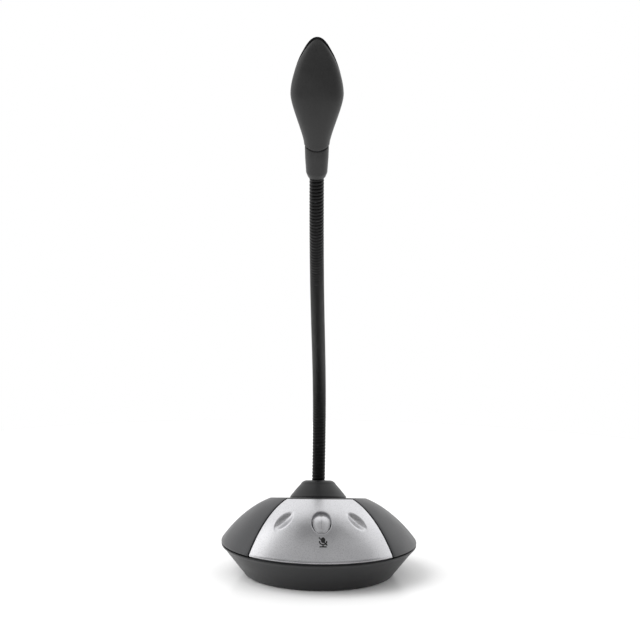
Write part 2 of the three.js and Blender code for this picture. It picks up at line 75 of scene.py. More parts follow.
finishes = {
    "charcoalPlastic": {"slot": "charcoal",
                        "colour": (0.008, 0.0082, 0.009), "second": (0.012, 0.0122, 0.013),
                        "roughness": (0.34, 0.44), "grain": 0.35, "bump": 0.03, "specular": 0.4},
    "satinGrey": {"slot": "shell_grey",
                  "colour": (0.018, 0.0185, 0.021), "second": (0.025, 0.0255, 0.028),
                  "roughness": (0.34, 0.44), "grain": 0.4, "bump": 0.045, "specular": 0.65},
    "headSatin": {"slot": "charcoal", "colour": (0.024, 0.024, 0.024), "second": (0.030, 0.030, 0.030),
                  "roughness": (0.36, 0.46), "grain": 0.3, "bump": 0.014, "specular": 0.3},
    "glossBlack": {"slot": "head_black",
                   "colour": (0.008, 0.008, 0.009), "second": (0.012, 0.012, 0.013),
                   "roughness": (0.14, 0.24), "grain": 0.6, "bump": 0.005},
    "neckCoating": {"slot": "neck_steel",
                    "colour": (0.002, 0.002, 0.002), "second": (0.004, 0.004, 0.004),
                    "roughness": (0.28, 0.42), "grain": 0.5, "bump": 0.012,
                    "worn": (0.02, 0.02, 0.021), "specular": 0.15},
    "softRubber": {"slot": "rubber", "colour": (0.013, 0.013, 0.013), "second": (0.024, 0.024, 0.023),
                   "roughness": (0.70, 0.88), "grain": 0.7, "bump": 0.04},
    "printedInk": {"slot": "charcoal", "colour": (0.006, 0.006, 0.006), "second": (0.010, 0.010, 0.010),
                   "roughness": (0.40, 0.55), "grain": 0.25, "bump": 0.004},
    "silverPaint": {"slot": "silver", "colour": (0.68, 0.68, 0.70), "second": (0.75, 0.75, 0.77),
                    "roughness": (0.30, 0.38), "grain": 0.45, "bump": 0.012, "metallic": 0.9},
    "zincSteel": {"slot": "screw_steel", "colour": (0.50, 0.52, 0.54), "second": (0.62, 0.63, 0.64),
                  "roughness": (0.25, 0.42), "grain": 0.8, "bump": 0.01, "metallic": 1.0},
    "castIron": {"slot": "ballast", "colour": (0.07, 0.07, 0.072), "second": (0.13, 0.128, 0.125),
                 "roughness": (0.55, 0.8), "grain": 1.4, "bump": 0.12, "metallic": 0.7},
    "boardGreen": {"slot": "board", "colour": (0.012, 0.085, 0.035), "second": (0.02, 0.12, 0.05),
                   "roughness": (0.35, 0.5), "grain": 0.9, "bump": 0.02},
    "brass": {"slot": "brass", "colour": (0.47, 0.31, 0.11), "second": (0.58, 0.40, 0.16),
              "roughness": (0.25, 0.4), "grain": 0.7, "bump": 0.01, "metallic": 1.0},
    "capsuleCan": {"slot": "metal_can", "colour": (0.60, 0.60, 0.61), "second": (0.72, 0.72, 0.73),
                   "roughness": (0.22, 0.35), "grain": 0.6, "bump": 0.006, "metallic": 1.0},
    "tinConnector": {"slot": "connector", "colour": (0.55, 0.55, 0.52), "second": (0.68, 0.68, 0.66),
                     "roughness": (0.35, 0.5), "grain": 0.5, "bump": 0.01},
    "leadSheath": {"slot": "lead", "colour": (0.016, 0.016, 0.017), "second": (0.026, 0.026, 0.027),
                   "roughness": (0.5, 0.65), "grain": 0.6, "bump": 0.02},
    "acousticCloth": {"slot": "cloth", "colour": (0.006, 0.006, 0.006), "second": (0.022, 0.022, 0.022),
                      "roughness": (0.85, 0.95), "grain": 0.5, "bump": 0.05},
}

everyFinish = {
    "driftSize": 14,  # the broad drift between colour and second
    "driftShare": (0.35, 0.65),
    "speckShare": (0.30, 0.52),
    "speckDark": 0.82,
    "wornShare": (0.53, 0.62),
    "bumpStrength": 0.7,
}
white, black = (1, 1, 1), (0, 0, 0)


def addNoise(tree, source, size, detail, at):
    noise = tree.nodes.new("ShaderNodeTexNoise")
    noise.inputs["Scale"].default_value = 1 / (size * mm)
    noise.inputs["Detail"].default_value = detail
    noise.inputs["Roughness"].default_value = 0.6
    noise.location = at
    tree.links.new(source, noise.inputs["Vector"])
    return noise


def addRamp(tree, source, low, high, first, last, at):
    ramp = tree.nodes.new("ShaderNodeValToRGB")
    ramp.color_ramp.elements[0].position = low
    ramp.color_ramp.elements[1].position = high
    ramp.color_ramp.elements[0].color = (*first, 1)
    ramp.color_ramp.elements[1].color = (*last, 1)
    ramp.location = at
    tree.links.new(source, ramp.inputs["Fac"])
    return ramp


def addRange(tree, source, low, high, at):
    spreadNode = tree.nodes.new("ShaderNodeMapRange")
    spreadNode.inputs["From Min"].default_value = 0.3
    spreadNode.inputs["From Max"].default_value = 0.7
    spreadNode.inputs["To Min"].default_value = low
    spreadNode.inputs["To Max"].default_value = high
    spreadNode.location = at
    tree.links.new(source, spreadNode.inputs["Value"])
    return spreadNode


def addMix(tree, factor, first, second, at):
    mix = tree.nodes.new("ShaderNodeMix")
    mix.data_type = "RGBA"
    mix.location = at
    tree.links.new(factor, mix.inputs["Factor"])
    tree.links.new(first, mix.inputs["A"])
    mix.inputs["B"].default_value = (*second, 1)
    return mix


# Every finish: broad colour drift, fine grain in colour, roughness and bump, lighter worn ridges.
def makeFinish(name, look):
    material = bpy.data.materials.new(name)
    material.use_nodes = True
    material.diffuse_color = (*look["colour"], 1)
    tree = material.node_tree
    shader = tree.nodes["Principled BSDF"]
    shader.inputs["Metallic"].default_value = look.get("metallic", 0.0)
    shader.inputs["IOR"].default_value = 1.5
    shader.inputs["Specular IOR Level"].default_value = look.get("specular", 0.5)
    coords = tree.nodes.new("ShaderNodeTexCoord")
    coords.location = (-1300, 0)
    place = coords.outputs["Object"]
    drift = addNoise(tree, place, everyFinish["driftSize"], 3, (-1050, 300))
    grain = addNoise(tree, place, look["grain"], 2, (-1050, 0))
    colour = addRamp(tree, drift.outputs["Fac"], *everyFinish["driftShare"],
                     look["colour"], look["second"], (-800, 300))
    dark = tuple(channel * everyFinish["speckDark"] for channel in look["colour"])
    speck = addRamp(tree, grain.outputs["Fac"], *everyFinish["speckShare"], white, black, (-800, 60))
    mixed = addMix(tree, speck.outputs["Color"], colour.outputs["Color"], dark, (-480, 260))
    result = mixed.outputs["Result"]
    if "worn" in look:
        geometry = tree.nodes.new("ShaderNodeNewGeometry")
        geometry.location = (-800, 520)
        ridge = addRamp(tree, geometry.outputs["Pointiness"], *everyFinish["wornShare"],
                        black, white, (-480, 520))
        worn = addMix(tree, ridge.outputs["Color"], result, look["worn"], (-240, 360))
        result = worn.outputs["Result"]
    tree.links.new(result, shader.inputs["Base Color"])
    rough = addRange(tree, drift.outputs["Fac"], *look["roughness"], (-480, -20))
    tree.links.new(rough.outputs["Result"], shader.inputs["Roughness"])
    bump = tree.nodes.new("ShaderNodeBump")
    bump.inputs["Strength"].default_value = everyFinish["bumpStrength"]
    bump.inputs["Distance"].default_value = look["bump"] * mm
    bump.location = (-240, -220)
    tree.links.new(grain.outputs["Fac"], bump.inputs["Height"])
    tree.links.new(bump.outputs["Normal"], shader.inputs["Normal"])
    return material


materials = {name: makeFinish(name, look) for name, look in finishes.items()}


# Metallic flake in the silver paint: tiny cells that each tip the surface a little.
flake = {"size": 0.28, "tip": 0.35, "height": 0.02}


def addFlake(material):
    tree = material.node_tree
    shader = tree.nodes["Principled BSDF"]
    coords = tree.nodes["Texture Coordinate"]
    cells = tree.nodes.new("ShaderNodeTexVoronoi")
    cells.inputs["Scale"].default_value = 1 / (flake["size"] * mm)
    cells.location = (-1050, -420)
    tree.links.new(coords.outputs["Object"], cells.inputs["Vector"])
    tilt = tree.nodes.new("ShaderNodeBump")
    tilt.inputs["Strength"].default_value = flake["tip"]
    tilt.inputs["Distance"].default_value = flake["height"] * mm
    tilt.location = (0, -420)
    tree.links.new(cells.outputs["Distance"], tilt.inputs["Height"])
    tree.links.new(tree.nodes["Bump"].outputs["Normal"], tilt.inputs["Normal"])
    tree.links.new(tilt.outputs["Normal"], shader.inputs["Normal"])


# Woven threads for the cloth behind the sound slots.
weave = {
    "pitch": 0.45,
    "bandStep": 0.314,  # how far apart a wave texture's bands are at scale 1
    "distortion": 0.4,
}


def addWeave(material):
    tree = material.node_tree
    coords = tree.nodes["Texture Coordinate"]
    bump = tree.nodes["Bump"]
    waves = []
    for axis, drop in (("X", 0), ("Z", -240)):
        wave = tree.nodes.new("ShaderNodeTexWave")
        wave.bands_direction = axis
        wave.inputs["Scale"].default_value = weave["bandStep"] / (weave["pitch"] * mm)
        wave.inputs["Distortion"].default_value = weave["distortion"]
        wave.location = (-1050, -520 + drop)
        tree.links.new(coords.outputs["Object"], wave.inputs["Vector"])
        waves.append(wave)
    thread = tree.nodes.new("ShaderNodeMath")
    thread.operation = "MULTIPLY"
    thread.location = (-760, -600)
    tree.links.new(waves[0].outputs["Fac"], thread.inputs[0])
    tree.links.new(waves[1].outputs["Fac"], thread.inputs[1])
    tree.links.new(thread.outputs["Value"], bump.inputs["Height"])


addFlake(materials["silverPaint"])
addWeave(materials["acousticCloth"])
print("finishes made:", len(materials))


# Mesh tools


def makePiece(name, points, faces, finish, place=None, sharp=35):
    mesh = bpy.data.meshes.new(name)
    if place is not None:
        points = [place @ Vector(p) for p in points]
    mesh.from_pydata([Vector(p) * mm for p in points], [], faces)
    piece = bpy.data.objects.new(name, mesh)
    bpy.context.scene.collection.objects.link(piece)
    tidyMesh(mesh, sharp)
    mesh.materials.append(materials[finish])
    return piece


def tidyMesh(mesh, sharp):
    work = bmesh.new()
    work.from_mesh(mesh)
    bmesh.ops.remove_doubles(work, verts=work.verts, dist=1e-6)
    bmesh.ops.dissolve_degenerate(work, edges=work.edges, dist=1e-7)
    bmesh.ops.recalc_face_normals(work, faces=work.faces)
    work.to_mesh(mesh)
    work.free()
    mesh.shade_smooth()
    mesh.set_sharp_from_angle(angle=math.radians(sharp))


def bakeModifiers(piece, sharp=35):
    bpy.context.view_layer.update()
    graph = bpy.context.evaluated_depsgraph_get()
    mesh = bpy.data.meshes.new_from_object(piece.evaluated_get(graph))
    piece.modifiers.clear()
    piece.data = mesh
    mesh.shade_smooth()
    mesh.set_sharp_from_angle(angle=math.radians(sharp))


# Rings with the same number of points, skinned one after another.
def skinRings(rings, closed=False, capped=False):
    count = len(rings[0])
    points = [p for ring in rings for p in ring]
    faces = []
    total = len(rings)
    for r in range(total if closed else total - 1):
        below, above = r * count, (r + 1) % total * count
        for i in range(count):
            j = (i + 1) % count
            faces.append((below + i, below + j, above + j, above + i))
    if capped:
        faces.append(tuple(range(count))[::-1])
        faces.append(tuple((total - 1) * count + i for i in range(count)))
    return points, faces


def circle(radius, height, sides):
    angles = [2 * math.pi * i / sides for i in range(sides)]
    return [(radius * math.cos(angle), radius * math.sin(angle), height) for angle in angles]


# A turned part from [radius, height] points, closed at the axis or back on itself.
def makeTurned(name, outline, finish, place=None, sides=96, sharp=35):
    onAxis = outline[0][0] == 0 and outline[-1][0] == 0
    inner = [p for p in outline if p[0] > 0]
    rings = [circle(r, z, sides) for r, z in inner]
    points, faces = skinRings(rings, closed=not onAxis, capped=onAxis)
    return makePiece(name, points, faces, finish, place, sharp)


# Rounds the corners of an outline: each corner becomes a short arc of the given radius.
def roundCorners(outline, radius, steps=3, closed=True):
    rounded = []
    count = len(outline)
    for i, corner in enumerate(outline):
        onEnd = not closed and i in (0, count - 1)
        before, after = Vector(outline[i - 1]), Vector(outline[(i + 1) % count])
        here = Vector(corner)
        toBefore, toAfter = before - here, after - here
        reach = min(radius, toBefore.length * 0.45, toAfter.length * 0.45)
        if onEnd or corner[0] == 0 or reach < 1e-3:
            rounded.append(tuple(corner))
            continue
        a = here + toBefore.normalized() * reach
        b = here + toAfter.normalized() * reach
        for k in range(steps + 1):
            t = k / steps
            rounded.append(tuple(a * (1 - t) ** 2 + here * 2 * t * (1 - t) + b * t * t))
    return rounded


# Base: where its surfaces run

base = {
    "partingHeight": 16.3,
    "rimCurve": [(48.0, 16.3), (48.0, 16.75), (47.8, 17.1), (47.5, 17.5)],
    "slopeCurve": [(47.5, 17.5), (41.0, 26.9), (32.6, 34.2), (24.1, 37.7)],
    "edgeCurve": [(24.1, 37.7), (23.6, 37.9), (23.3, 38.0), (22.9, 38.0)],
    "topHeight": 38.0,
    "topTilt": 12.0,
    "topShift": -0.7,
    "panelHalfAngle": 50.9,
    "panelApex": 5.4,  # the panel's side planes meet this far in front of the middle
    "groove": 0.85,
    "pocketDepth": 2.3,  # the upper shell is sunk this far under the panel
    "pocketEnd": 1.12,
    "topRings": (20, 14, 8, 3.4),
    "slopeRows": 22,
    "rearSteps": 90,
    "frontSteps": 30,
    "wall": 2.0,
    "edgeBevel": 0.22,
}
switch = {"place": (0, -36.4, 33.7), "tilt": 47}  # where the switch's own frame stands
plateauPlace = (base["topShift"], 0, base["topHeight"])
plateauFrame = Matrix.Translation(plateauPlace) @ turnX(-base["topTilt"])
switchFrame = Matrix.Translation(switch["place"]) @ turnX(switch["tilt"])


# Radius and height of the dome's outline.
# t runs -1..0 on the rim, 0..1 on the slope and 1..2 on the top edge.
def domeOutline(t):
    if t < 0:
        return bezier(*base["rimCurve"], t + 1)
    if t <= 1:
        return bezier(*base["slopeCurve"], t)
    return bezier(*base["edgeCurve"], min(t, 2) - 1)


def tiltedRing(radius, height, azimuth):
    share = (height - base["partingHeight"]) / (base["topHeight"] - base["partingHeight"])
    share = max(0, min(share, 1.02))
    tip = math.radians(base["topTilt"] * share)
    across = radius * math.sin(azimuth) + base["topShift"] * share
    ahead = radius * math.cos(azimuth)
    return Vector((across, -ahead * math.cos(tip), height + ahead * math.sin(tip)))


# A point on the dome, sunk by an inset along the outline's normal.
# The azimuth is in radians from the talker's side.
def domePoint(azimuth, t, inset=0.0):
    r, z = domeOutline(t)
    r1, z1 = domeOutline(t + 0.01)
    r0, z0 = domeOutline(t - 0.01)
    run = math.hypot(r1 - r0, z1 - z0)
    return tiltedRing(r - (z1 - z0) / run * inset, z + (r1 - r0) / run * inset, azimuth)


# The azimuth at which the ring at t meets the panel's side plane, moved out by grow.
# The side is 1 on the right and -1 on the left.
def sideAzimuth(side, t, grow=0.0):
    half = math.radians(base["panelHalfAngle"])
    low, high = 0.0, math.radians(85)
    for _ in range(24):
        middle = (low + high) / 2
        point = domePoint(side * middle, t)
        outside = side * point.x * math.cos(half) + (point.y + base["panelApex"]) * math.sin(half)
        if outside < grow:
            low = middle
        else:
            high = middle
    return side * low


# Shares -1..1 run from the panel's left side to its right side.
def panelAzimuth(share, t, grow=0.0):
    left, right = sideAzimuth(-1, t, grow), sideAzimuth(1, t, grow)
    return left + (right - left) * (share + 1) / 2


# Azimuth and t of the dome point above a place in the switch's own frame, by Newton's steps.
def domeUnder(x, y, t=0.6):
    azimuth = x / 40
    toLocal = switchFrame.inverted()
    step = 1e-4
    for _ in range(8):
        here = toLocal @ domePoint(azimuth, t)
        byAzimuth = (toLocal @ domePoint(azimuth + step, t) - here) / step
        byT = (toLocal @ domePoint(azimuth, t + step) - here) / step
        miss = (x - here.x, y - here.y)
        det = byAzimuth.x * byT.y - byT.x * byAzimuth.y
        azimuth += (miss[0] * byT.y - miss[1] * byT.x) / det
        t += (byAzimuth.x * miss[1] - byAzimuth.y * miss[0]) / det
    return azimuth, t


def domeNormal(azimuth, t):
    step = 1e-3
    here = domePoint(azimuth, t)
    across = domePoint(azimuth + step, t) - here
    up = domePoint(azimuth, t + step) - here
    return across.cross(up).normalized()


# Base: upper shell


def makeUpperShell():
    pocketEnd = base["pocketEnd"]
    lowRows = spread(-1, 0, 3) + spread(0, 1, base["slopeRows"])[1:] + [pocketEnd]
    rows = [(t, True) for t in lowRows] + [(t, False) for t in spread(pocketEnd, 2, 5)]
    rings = []
    for t, low in rows:
        left, right = (sideAzimuth(side, t, base["groove"]) for side in (-1, 1))
        rear = spread(right, 2 * math.pi + left, base["rearSteps"])
        front = spread(left, right, base["frontSteps"])
        ring = [domePoint(azimuth, t) for azimuth in rear]
        ring += [domePoint(azimuth, t, base["pocketDepth"] if low else 0) for azimuth in front]
        rings.append(ring)
    for radius in base["topRings"]:
        rings.append([tiltedRing(radius, base["topHeight"], azimuth) for azimuth in rear + front])
    points, faces = skinRings(rings)
    shell = makePiece("upper_shell_smooth", points, faces, "satinGrey")
    thicken = shell.modifiers.new("wall", "SOLIDIFY")
    thicken.thickness = base["wall"] * mm
    thicken.offset = -1
    soften = shell.modifiers.new("edges", "BEVEL")
    soften.width = base["edgeBevel"] * mm
    soften.segments = 2
    soften.limit_method = "ANGLE"
    soften.angle_limit = math.radians(40)
    bakeModifiers(shell, 50)
    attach(shell, "base")
    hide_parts("upper_shell")
    return shell


makeUpperShell()
print("upper shell made")

# Base: silver panel with its dimples and switch recess

panel = {
    "edgeRound": 0.55,
    "thickness": 1.9,
    "topEnd": 0.985,
    "bottomEnd": -0.95,
    "sideSteps": 56,
    "topSteps": 60,
    "bottomSteps": 104,
    "rings": 74,
    "recessHalf": (4.85, 6.3),
    "recessDepth": 2.6,
    "recessNarrow": 0.10,
    "lipRound": 0.4,
    "slotHalf": (1.4, 3.4),
    "slotDepth": 1.2,
    "wellWall": 1.2,  # the wall of the recess, seen from below
    "wellTop": -1.6,
    "wellGrow": 1.8,
}
dimples = {
    "azimuth": 28.2,
    "height": 29.4,
    "halfLength": 5.1,
    "halfWidth": 3.2,
    "depth": 1.9,
    "lean": 40.0,
    "valley": -0.35,
    "risePerSlope": 0.68,
    "endRound": 0.7,
}


# The recess outline, an egg that narrows to the talker, at an angle round its middle.
def recessOutline(angle, grow=0.0):
    halfWidth, halfLength = (half + grow for half in panel["recessHalf"])
    x, y = math.cos(angle), math.sin(angle)
    narrow = 1 - panel["recessNarrow"] * max(0, -y) ** 2
    return halfWidth * x * narrow, halfLength * y


def slotOutline(angle):
    halfWidth, halfLength = panel["slotHalf"]
    x, y = math.cos(angle), math.sin(angle)
    stretch = 1 / max(abs(x) / halfWidth, abs(y) / halfLength)
    return x * stretch, y * stretch


# How deep the dimples sink the dome at azimuth and t: a lens with its valley nearer the outer side.
def dimpleDepth(azimuth, t):
    r, z = domeOutline(t)
    across = (abs(azimuth) - math.radians(dimples["azimuth"])) * r
    rise = (z - dimples["height"]) / dimples["risePerSlope"]
    lean = math.radians(dimples["lean"])
    along = -across * math.sin(lean) + rise * math.cos(lean)
    off = across * math.cos(lean) + rise * math.sin(lean)
    share = along / dimples["halfLength"]
    if abs(share) >= 1:
        return 0
    half = dimples["halfWidth"] * math.sqrt(1 - share * share)
    q = -off / half
    if abs(q) >= 1:
        return 0
    valley = dimples["valley"]
    reach = (valley - q) / (1 + valley) if q < valley else (q - valley) / (1 - valley)
    endFade = (1 - share * share) ** dimples["endRound"]
    return dimples["depth"] * endFade * math.cos(math.pi / 2 * reach)


# The panel's border as (share, t), in turn from bottom left, bottom right, top right and top left.
def panelBorder():
    low, high = panel["bottomEnd"], panel["topEnd"]
    border = [(share, low) for share in spread(-1, 1, panel["bottomSteps"])[:-1]]
    border += [(1, t) for t in spread(low, high, panel["sideSteps"])[:-1]]
    border += [(share, high) for share in spread(1, -1, panel["topSteps"])[:-1]]
    border += [(-1, t) for t in spread(high, low, panel["sideSteps"])[:-1]]
    return border


def makeFrontPanel():
    toLocal = switchFrame.inverted()
    edge = [(panelAzimuth(share, t), t) for share, t in panelBorder()]
    angles = []
    for azimuth, t in edge:
        flat = toLocal @ domePoint(azimuth, t)
        angles.append(math.atan2(flat.y, flat.x))
    hole = [domeUnder(*recessOutline(angle, panel["lipRound"])) for angle in angles]

    def between(i, share, inset=0.0):
        azimuth = hole[i][0] + (edge[i][0] - hole[i][0]) * share
        t = hole[i][1] + (edge[i][1] - hole[i][1]) * share
        sink = inset + (dimpleDepth(azimuth, t) if inset < 0.5 else 0)
        point = domePoint(azimuth, t)
        return point - domeNormal(azimuth, t) * sink

    count = range(len(edge))
    rings = []
    rounding = panel["edgeRound"]
    for share, inset in (
        (1, panel["thickness"]), (1, rounding), (0.9985, rounding * 0.3), (0.994, 0.05),
    ):
        rings.append([between(i, share, inset) for i in count])
    for share in spread(0.985, 0, panel["rings"]):
        rings.append([between(i, share, 0.0) for i in count])
    lip = panel["lipRound"]
    for turn in (20, 45, 70, 90):
        a = math.radians(turn)
        ring = []
        for i in count:
            x, y = recessOutline(angles[i], lip * (1 - math.sin(a)))
            point = domePoint(*domeUnder(x, y))
            ring.append(point - switchFrame.to_3x3() @ Vector((0, 0, lip * (1 - math.cos(a)))))
        rings.append(ring)
    floor = -panel["recessDepth"]
    for grow, height in ((0, floor + 0.5), (-0.15, floor + 0.15), (-0.5, floor)):
        rings.append([switchFrame @ Vector((*recessOutline(a, grow), height)) for a in angles])
    slotEnd = floor - panel["slotDepth"]
    for height in (floor, slotEnd):
        rings.append([switchFrame @ Vector((*slotOutline(a), height)) for a in angles])
    well = [recessOutline(angle, panel["wellWall"]) for angle in angles]
    for height in (slotEnd, panel["wellTop"]):
        rings.append([switchFrame @ Vector((*place, height)) for place in well])
    under = [domeUnder(*recessOutline(angle, panel["wellGrow"])) for angle in angles]
    rings.append([domePoint(*under[i], panel["thickness"]) for i in count])
    for share in (0.33, 0.66):
        rings.append([
            domePoint(under[i][0] + (edge[i][0] - under[i][0]) * share,
                      under[i][1] + (edge[i][1] - under[i][1]) * share, panel["thickness"])
            for i in count
        ])
    points, faces = skinRings(rings, closed=True)
    piece = makePiece("front_panel_smooth", points, faces, "silverPaint", sharp=50)
    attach(piece, "base")
    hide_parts("front_panel")
    return piece


makeFrontPanel()
print("silver panel made")

# Base: slide knob

knob = {
    "upper": 3.9,
    "lower": -6.0,
    "halfWidth": 4.15,
    "widest": -0.2,
    "shoulder": 3.6,
    "tipShare": 0.5,
    "bottom": -2.2,
    "edge": -0.25,
    "top": 0.8,
    "topCentre": (0, -1.0),
    "swellPower": 3.2,
    "ridge": 0.2,
    "rings": 14,
    "steps": 18,
}


def knobOutline():
    half, low, mid = knob["halfWidth"], knob["lower"], knob["widest"]
    curve = ((0, low), (half * knob["tipShare"], low), (half, mid - knob["shoulder"]), (half, mid))
    outline = [bezier(*curve, t) for t in spread(0, 1, knob["steps"])[:-1]]
    for angle in spread(0, math.pi, knob["steps"] * 2)[:-1]:
        outline.append([half * math.cos(angle), mid + (knob["upper"] - mid) * math.sin(angle)])
    for t in spread(1, 0, knob["steps"])[:-1]:
        x, y = bezier(*curve, t)
        outline.append([-x, y])
    return outline


def makeKnob():
    outline = knobOutline()
    cx, cy = knob["topCentre"]
    crest = knob["top"] - knob["edge"]

    def level(share, height):
        return [(cx + (x - cx) * share, cy + (y - cy) * share, height) for x, y in outline]

    rings = [level(0.92, knob["bottom"]), level(1, knob["bottom"] + 0.2), level(1, knob["edge"] - 0.2)]
    for i in range(knob["rings"]):
        share = 1 - i / knob["rings"]
        swell = crest * (1 - share ** knob["swellPower"])
        ring = []
        for x, y, height in level(share, knob["edge"] + swell):
            fall = knob["ridge"] * abs(x) * min(1, 2 * abs(x)) * (1 - share**4)
            ring.append((x, y, height - fall))
        rings.append(ring)
    points, faces = skinRings(rings, capped=True)
    piece = makePiece("switch_knob_smooth", points, faces, "silverPaint", switchFrame, 60)
    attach(piece, "switch")
    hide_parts("switch_knob")
    return piece


makeKnob()

# Base: printed mute sign

muteSign = {
    "centre": (0.7, -10.3),
    "line": 0.62,
    "capsule": (1.05, 1.45),  # half width and half length
    "capsuleRise": 0.95,
    "cradle": (1.7, 1.6),
    "cradleRise": 0.35,
    "strokes": [  # stem, foot and the bar across
        [(0, -1.15), (0, -1.7), (0, -2.2)],
        [(-1.7, -2.3), (0, -2.3), (1.7, -2.3)],
        [(-2.0, 2.3), (0, 0.35), (2.0, -1.6)],
    ],
    "raise": 0.05,
    "sink": -0.15,
}


def ribbon(path, width):
    left, right = [], []
    for i, here in enumerate(path):
        before, after = path[max(i - 1, 0)], path[min(i + 1, len(path) - 1)]
        run = (Vector(after) - Vector(before)).normalized()
        side = Vector((-run.y, run.x)) * width / 2
        left.append(Vector(here) + side)
        right.append(Vector(here) - side)
    return left, right


# A strip laid on the dome as a thin closed slab, between its left and right edges.
def layStrip(left, right, points, faces):
    first = len(points)
    cx, cy = muteSign["centre"]
    for lift in (muteSign["sink"], muteSign["raise"]):
        for side in (left, right):
            for p in side:
                azimuth, t = domeUnder(cx + p[0], cy + p[1], 0.35)
                points.append(domePoint(azimuth, t) + domeNormal(azimuth, t) * lift)
    n = len(left)
    lowLeft, lowRight, topLeft, topRight = (first + n * k for k in range(4))
    for i in range(n - 1):
        faces.append((topLeft + i, topRight + i, topRight + i + 1, topLeft + i + 1))
        faces.append((lowLeft + i, lowLeft + i + 1, lowRight + i + 1, lowRight + i))
        faces.append((lowLeft + i, topLeft + i, topLeft + i + 1, lowLeft + i + 1))
        faces.append((lowRight + i, lowRight + i + 1, topRight + i + 1, topRight + i))
    for i in (0, n - 1):
        faces.append((lowLeft + i, lowRight + i, topRight + i, topLeft + i))


def makeMuteSign():
    points, faces = [], []
    wide, tall = muteSign["capsule"]
    middle = muteSign["capsuleRise"]
    body = [(wide * math.sin(a), middle - tall * math.cos(a)) for a in spread(0.12, math.pi - 0.12, 14)]
    layStrip([Vector((-x, y)) for x, y in body], [Vector((x, y)) for x, y in body], points, faces)
    arc = math.pi / 2 + 0.15
    wide, tall = muteSign["cradle"]
    middle = muteSign["cradleRise"]
    cradle = [(wide * math.sin(a), middle - tall * math.cos(a)) for a in spread(-arc, arc, 18)]
    for path in [cradle] + muteSign["strokes"]:
        layStrip(*ribbon(path, muteSign["line"]), points, faces)
    piece = makePiece("mute_sign", points, faces, "printedInk")
    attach(piece, "base")
    return piece


makeMuteSign()
print("knob and mute sign made")

# Base: lower shell, pad, gland and collar

lowerShell = {
    "outline": [
        (33.6, 1.3), (33.6, 0.5), (36.3, 0.5), (46.75, 13.8), (47.8, 14.75), (48.0, 15.2),
        (47.7, 15.55), (46.8, 15.65), (45.6, 15.65), (44.6, 14.3), (36.2, 3.5), (20.0, 3.5), (20.0, 1.3),
    ],
    "edgeRound": 0.5,
    "inletHeight": 9.4,
    "inletRadius": 6.2,
    "inletEnds": (38, 46.5),
    "inletBore": 3.3,
    "boreEnds": (30, 50),
}


def addCylinder(name, radius, start, end, height, sides=40):
    points, faces = skinRings([circle(radius, start, sides), circle(radius, end, sides)], capped=True)
    place = Matrix.Translation((0, 0, height)) @ turnX(-90)
    return makePiece(name, points, faces, "charcoalPlastic", place)


def carve(piece, tool, operation, sharp=35):
    carved = piece.modifiers.new("carve", "BOOLEAN")
    carved.operation = operation
    carved.solver = "EXACT"
    carved.object = tool
    bakeModifiers(piece, sharp)
    bpy.data.objects.remove(tool)


def makeLowerShell():
    outline = roundCorners(lowerShell["outline"], lowerShell["edgeRound"])
    piece = makeTurned("lower_shell_smooth", outline, "charcoalPlastic", sides=120)
    height = lowerShell["inletHeight"]
    boss = addCylinder("boss", lowerShell["inletRadius"], *lowerShell["inletEnds"], height)
    carve(piece, boss, "UNION")
    bore = addCylinder("bore", lowerShell["inletBore"], *lowerShell["boreEnds"], height)
    carve(piece, bore, "DIFFERENCE", 30)
    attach(piece, "base")
    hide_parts("lower_shell")


pad = {
    "rim": [(0, 1.0), (33.2, 1.0), (33.2, 0.25), (32.95, 0.0)],
    "grooves": (30.5, 27.5, 24.5, 21.5),
    "grooveSteps": [(0.5, 0.0), (0.3, 0.3), (-0.3, 0.3), (-0.5, 0.0)],
    "middle": [(12.5, 0.0), (12.2, 0.3), (0, 0.3)],
}


def makePad():
    outline = list(pad["rim"])
    for radius in pad["grooves"]:
        outline += [(radius + out, height) for out, height in pad["grooveSteps"]]
    outline += pad["middle"]
    piece = makeTurned("anti_slip_pad_ribbed", outline, "softRubber", sides=96)
    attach(piece, "base")
    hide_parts("anti_slip_pad")


gland = {
    "outline": [
        (1.8, 34.1), (4.4, 34.1), (4.4, 35.7), (3.0, 35.7), (3.0, 46.8), (4.4, 46.8), (4.4, 47.5),
        (3.9, 47.9), (3.4, 48.4), (1.8, 48.4),
    ],
    "edgeRound": 0.25,
}


def makeGland():
    place = Matrix.Translation((0, 0, lowerShell["inletHeight"])) @ turnX(-90)
    outline = roundCorners(gland["outline"], gland["edgeRound"])
    piece = makeTurned("cable_gland_smooth", outline, "softRubber", place, 48)
    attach(piece, "base")
    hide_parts("cable_gland")


collar = {
    "outline": [
        (6.3, 0.05), (13.8, 0.05), (13.75, 0.7), (12.9, 1.75), (11.35, 3.7), (9.6, 5.7), (8.6, 6.8),
        (8.0, 7.7), (6.9, 8.35), (6.0, 8.6), (3.35, 8.6), (3.35, 6.0), (6.3, 3.6),
    ],
    "edgeRound": 0.5,
}


def makeCollar():
    outline = roundCorners(collar["outline"], collar["edgeRound"], 4)
    piece = makeTurned("neck_collar_smooth", outline, "charcoalPlastic", plateauFrame, 96)
    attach(piece, "base")
    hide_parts("neck_collar")


makeLowerShell()
makePad()
makeGland()
makeCollar()
print("lower shell, pad, gland and collar made")

# Wound neck

neck = {
    "pieces": 10,
    "radius": 3.2,
    "ribPitch": 1.63,
    "ribDepth": 0.34,
    "ribPower": 2.4,
    "samplesPerRib": 10,
    "sides": 32,
    "foot": 3.4,
    "top": 4.0,
    "yaw": 3.1,
    "start": (1.6, 45.3),
    "middle": (-50.0, 130.0),
    "end": (-107.6, 204.0),
    "leans": (-12.0, 51.2, 19.7),
    "handles": (42.8, 38.7, 34.4, 36.6),
    "curveSteps": 400,
}


